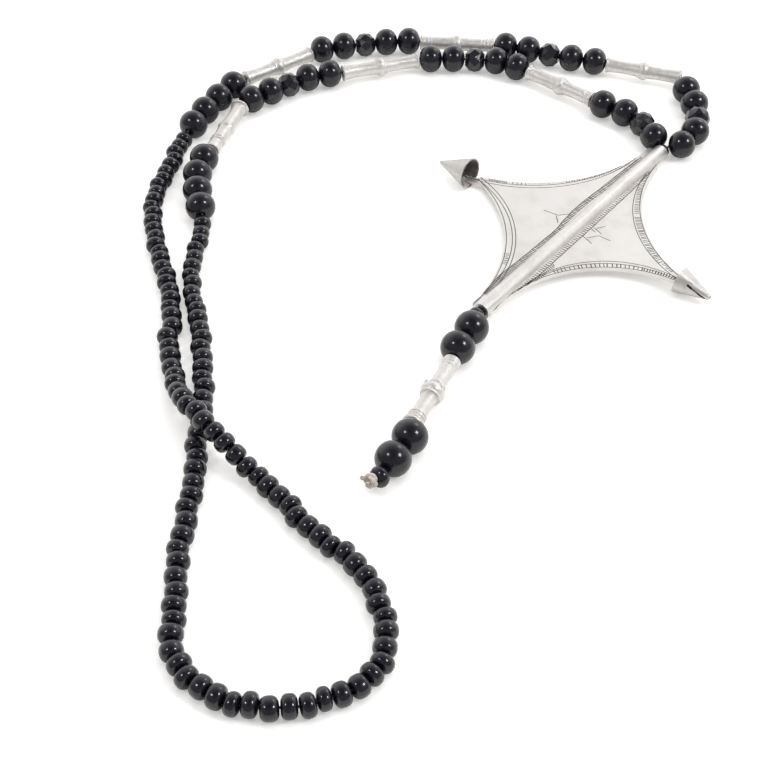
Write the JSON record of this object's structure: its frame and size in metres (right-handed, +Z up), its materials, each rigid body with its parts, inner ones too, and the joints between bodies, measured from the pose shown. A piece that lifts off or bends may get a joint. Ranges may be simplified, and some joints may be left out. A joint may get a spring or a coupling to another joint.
{
  "type": "wedding necklace",
  "caption": "Long loop of glossy black beads and slim silver tube beads, with a flat pointed silver star pendant and a short knotted tail hanging below it.",
  "frame": {"origin": "middle of the laid-out necklace's box, on the surface it lies on", "axes": "+Z up out of the surface, +Y along the laid-out length, from the end of the small-bead loop to the large beads, +X towards the pendant's side"},
  "size_m": [0.158, 0.239, 0.0105],
  "materials": {
    "black_glass": "glossy",
    "silver": "satin",
    "thread": "matte"
  },
  "bodies": {
    "root": {"pendant": "silver", "mouth_bead_top": "black_glass", "mouth_bead_bottom": "black_glass", "tail_end_bead": "black_glass", "thread": "thread", "thread_knot": "thread", "seed_string_a": "black_glass", "seed_string_b": "black_glass", "silver_tube_1": "silver", "silver_tube_2": "silver", "silver_tube_3": "silver", "silver_tube_4": "silver", "silver_tube_5": "silver", "silver_tube_6": "silver", "silver_tube_7": "silver", "faceted_bead_1": "black_glass", "faceted_bead_2": "black_glass", "faceted_bead_3": "black_glass", "faceted_bead_4": "black_glass", "faceted_bead_5": "black_glass", "faceted_bead_6": "black_glass", "round_bead_1": "black_glass", "round_bead_2": "black_glass", "round_bead_3": "black_glass", "round_bead_4": "black_glass", "round_bead_5": "black_glass", "round_bead_6": "black_glass", "round_bead_7": "black_glass", "round_bead_8": "black_glass", "round_bead_9": "black_glass", "round_bead_10": "black_glass", "round_bead_11": "black_glass", "round_bead_12": "black_glass", "round_bead_13": "black_glass", "round_bead_14": "black_glass", "round_bead_15": "black_glass", "round_bead_16": "black_glass", "round_bead_17": "black_glass", "round_bead_18": "black_glass", "round_bead_19": "black_glass", "round_bead_20": "black_glass", "round_bead_21": "black_glass", "round_bead_22": "black_glass", "round_bead_23": "black_glass", "round_bead_24": "black_glass", "round_bead_25": "black_glass", "round_bead_26": "black_glass", "round_bead_27": "black_glass", "round_bead_28": "black_glass", "round_bead_29": "black_glass", "round_bead_30": "black_glass", "round_bead_31": "black_glass", "round_bead_32": "black_glass", "round_bead_33": "black_glass", "round_bead_34": "black_glass", "round_bead_35": "black_glass"}
  },
  "joints": []
}
